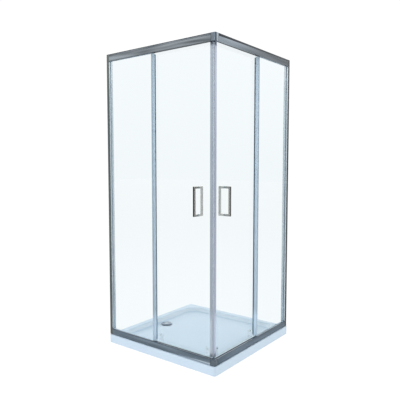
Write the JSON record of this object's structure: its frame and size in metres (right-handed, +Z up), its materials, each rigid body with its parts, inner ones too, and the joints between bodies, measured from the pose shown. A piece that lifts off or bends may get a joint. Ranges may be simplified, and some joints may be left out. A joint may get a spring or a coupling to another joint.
{
  "type": "corner shower enclosure",
  "caption": "Square corner shower enclosure: low tray, framed glass wings meeting at the front corner, sliding corner-entry doors with D handles, offset drain.",
  "frame": {"origin": "on the floor under the middle of the tray", "axes": "+Z up, -Y out of the front wing, +X out of the side wing, room walls at -X and +Y"},
  "size_m": [0.9, 0.9, 1.955],
  "materials": {
    "white_acrylic": "gloss white, vacuum formed",
    "chipboard": "raw board",
    "moulded_foot_plastic": "moulded black",
    "grey_polypropylene": "moulded grey",
    "stainless_steel": "brushed",
    "chromed_zinc": "polished chrome plate",
    "anodised_aluminium": "satin silver anodised",
    "clear_glass": "clear toughened",
    "clear_vinyl": "translucent, soft",
    "milky_vinyl": "milky, stiff extruded",
    "grey_nylon": "silver painted",
    "clear_nylon": "clear moulded",
    "white_acetal": "smooth moulded",
    "buffer_rubber": "matt"
  },
  "bodies": {
    "enclosure": {"shower_tray": "white_acrylic", "tray_base_board": "chipboard", "tray_support_pads": "moulded_foot_plastic", "waste_body": "grey_polypropylene", "waste_flange": "stainless_steel", "hair_strainer": "grey_polypropylene", "bottom_corner_connector": "grey_nylon", "top_corner_connector": "grey_nylon", "glazing_gaskets": "clear_vinyl", "door_buffers": "buffer_rubber", "frame_screws": "stainless_steel", "front_wall_channel": "anodised_aluminium", "front_wall_post": "anodised_aluminium", "front_bottom_rail": "anodised_aluminium", "front_top_rail": "anodised_aluminium", "front_fixed_glass": "clear_glass", "front_fixed_edge_profile": "milky_vinyl", "side_wall_channel": "anodised_aluminium", "side_wall_post": "anodised_aluminium", "side_bottom_rail": "anodised_aluminium", "side_top_rail": "anodised_aluminium", "side_fixed_glass": "clear_glass", "side_fixed_edge_profile": "milky_vinyl"},
    "drain_cover": {"drain_cover": "chromed_zinc"},
    "front_door": {"front_door_glass": "clear_glass", "front_closing_stile": "anodised_aluminium", "front_magnetic_seal": "clear_vinyl", "front_trailing_profile": "milky_vinyl", "front_outer_handle": "chromed_zinc", "front_inner_handle": "chromed_zinc", "front_handle_studs": "stainless_steel", "front_handle_washers": "clear_vinyl", "front_upper_roller_axles": "stainless_steel", "front_upper_roller_hubs": "chromed_zinc", "front_lower_roller_guides": "clear_nylon", "front_release_springs": "stainless_steel"},
    "front_lower_slider_lead": {"front_lower_slider_lead": "clear_nylon"},
    "front_upper_wheel_lead": {"front_upper_wheel_lead": "white_acetal"},
    "front_lower_wheel_lead": {"front_lower_wheel_lead": "white_acetal"},
    "front_lower_slider_trail": {"front_lower_slider_trail": "clear_nylon"},
    "front_upper_wheel_trail": {"front_upper_wheel_trail": "white_acetal"},
    "front_lower_wheel_trail": {"front_lower_wheel_trail": "white_acetal"},
    "side_door": {"side_door_glass": "clear_glass", "side_closing_stile": "anodised_aluminium", "side_magnetic_seal": "clear_vinyl", "side_trailing_profile": "milky_vinyl", "side_outer_handle": "chromed_zinc", "side_inner_handle": "chromed_zinc", "side_handle_studs": "stainless_steel", "side_handle_washers": "clear_vinyl", "side_upper_roller_axles": "stainless_steel", "side_upper_roller_hubs": "chromed_zinc", "side_lower_roller_guides": "clear_nylon", "side_release_springs": "stainless_steel"},
    "side_lower_slider_lead": {"side_lower_slider_lead": "clear_nylon"},
    "side_upper_wheel_lead": {"side_upper_wheel_lead": "white_acetal"},
    "side_lower_wheel_lead": {"side_lower_wheel_lead": "white_acetal"},
    "side_lower_slider_trail": {"side_lower_slider_trail": "clear_nylon"},
    "side_upper_wheel_trail": {"side_upper_wheel_trail": "white_acetal"},
    "side_lower_wheel_trail": {"side_lower_wheel_trail": "white_acetal"}
  },
  "joints": [
    {"name": "drain_cover_lift", "type": "slide", "parent": "enclosure", "child": "drain_cover", "axis": [0, 0, 1], "range_m": [0, 0.04]},
    {"name": "front_door_slide", "type": "slide", "parent": "enclosure", "child": "front_door", "axis": [-1, 0, 0], "range_m": [0, 0.32]},
    {"name": "front_lower_press_lead", "type": "slide", "parent": "front_door", "child": "front_lower_slider_lead", "axis": [0, 0, -1], "range_m": [0, 0.005], "stiffness_N_per_m": 800, "springref_m": -0.004},
    {"name": "front_upper_wheel_lead_spin", "type": "hinge", "parent": "front_door", "child": "front_upper_wheel_lead", "pos_m": [0.362, -0.41675, 1.9373], "axis": [0, 1, 0], "continuous": true},
    {"name": "front_lower_wheel_lead_spin", "type": "hinge", "parent": "front_lower_slider_lead", "child": "front_lower_wheel_lead", "pos_m": [0.362, -0.41675, 0.0727], "axis": [0, 1, 0], "continuous": true},
    {"name": "front_lower_press_trail", "type": "slide", "parent": "front_door", "child": "front_lower_slider_trail", "axis": [0, 0, -1], "range_m": [0, 0.005], "stiffness_N_per_m": 800, "springref_m": -0.004},
    {"name": "front_upper_wheel_trail_spin", "type": "hinge", "parent": "front_door", "child": "front_upper_wheel_trail", "pos_m": [-0.013, -0.41675, 1.9373], "axis": [0, 1, 0], "continuous": true},
    {"name": "front_lower_wheel_trail_spin", "type": "hinge", "parent": "front_lower_slider_trail", "child": "front_lower_wheel_trail", "pos_m": [-0.013, -0.41675, 0.0727], "axis": [0, 1, 0], "continuous": true},
    {"name": "side_door_slide", "type": "slide", "parent": "enclosure", "child": "side_door", "axis": [0, 1, 0], "range_m": [0, 0.32]},
    {"name": "side_lower_press_lead", "type": "slide", "parent": "side_door", "child": "side_lower_slider_lead", "axis": [0, 0, -1], "range_m": [0, 0.005], "stiffness_N_per_m": 800, "springref_m": -0.004},
    {"name": "side_upper_wheel_lead_spin", "type": "hinge", "parent": "side_door", "child": "side_upper_wheel_lead", "pos_m": [0.41675, -0.362, 1.9373], "axis": [1, 0, 0], "continuous": true},
    {"name": "side_lower_wheel_lead_spin", "type": "hinge", "parent": "side_lower_slider_lead", "child": "side_lower_wheel_lead", "pos_m": [0.41675, -0.362, 0.0727], "axis": [1, 0, 0], "continuous": true},
    {"name": "side_lower_press_trail", "type": "slide", "parent": "side_door", "child": "side_lower_slider_trail", "axis": [0, 0, -1], "range_m": [0, 0.005], "stiffness_N_per_m": 800, "springref_m": -0.004},
    {"name": "side_upper_wheel_trail_spin", "type": "hinge", "parent": "side_door", "child": "side_upper_wheel_trail", "pos_m": [0.41675, 0.013, 1.9373], "axis": [1, 0, 0], "continuous": true},
    {"name": "side_lower_wheel_trail_spin", "type": "hinge", "parent": "side_lower_slider_trail", "child": "side_lower_wheel_trail", "pos_m": [0.41675, 0.013, 0.0727], "axis": [1, 0, 0], "continuous": true}
  ],
  "couplings": [
    {"joint": "front_upper_wheel_lead_spin", "follows": "front_door_slide", "rad_per_m": -125},
    {"joint": "front_lower_wheel_lead_spin", "follows": "front_door_slide", "rad_per_m": 125},
    {"joint": "front_upper_wheel_trail_spin", "follows": "front_door_slide", "rad_per_m": -125},
    {"joint": "front_lower_wheel_trail_spin", "follows": "front_door_slide", "rad_per_m": 125},
    {"joint": "side_upper_wheel_lead_spin", "follows": "side_door_slide", "rad_per_m": -125},
    {"joint": "side_lower_wheel_lead_spin", "follows": "side_door_slide", "rad_per_m": 125},
    {"joint": "side_upper_wheel_trail_spin", "follows": "side_door_slide", "rad_per_m": -125},
    {"joint": "side_lower_wheel_trail_spin", "follows": "side_door_slide", "rad_per_m": 125}
  ]
}
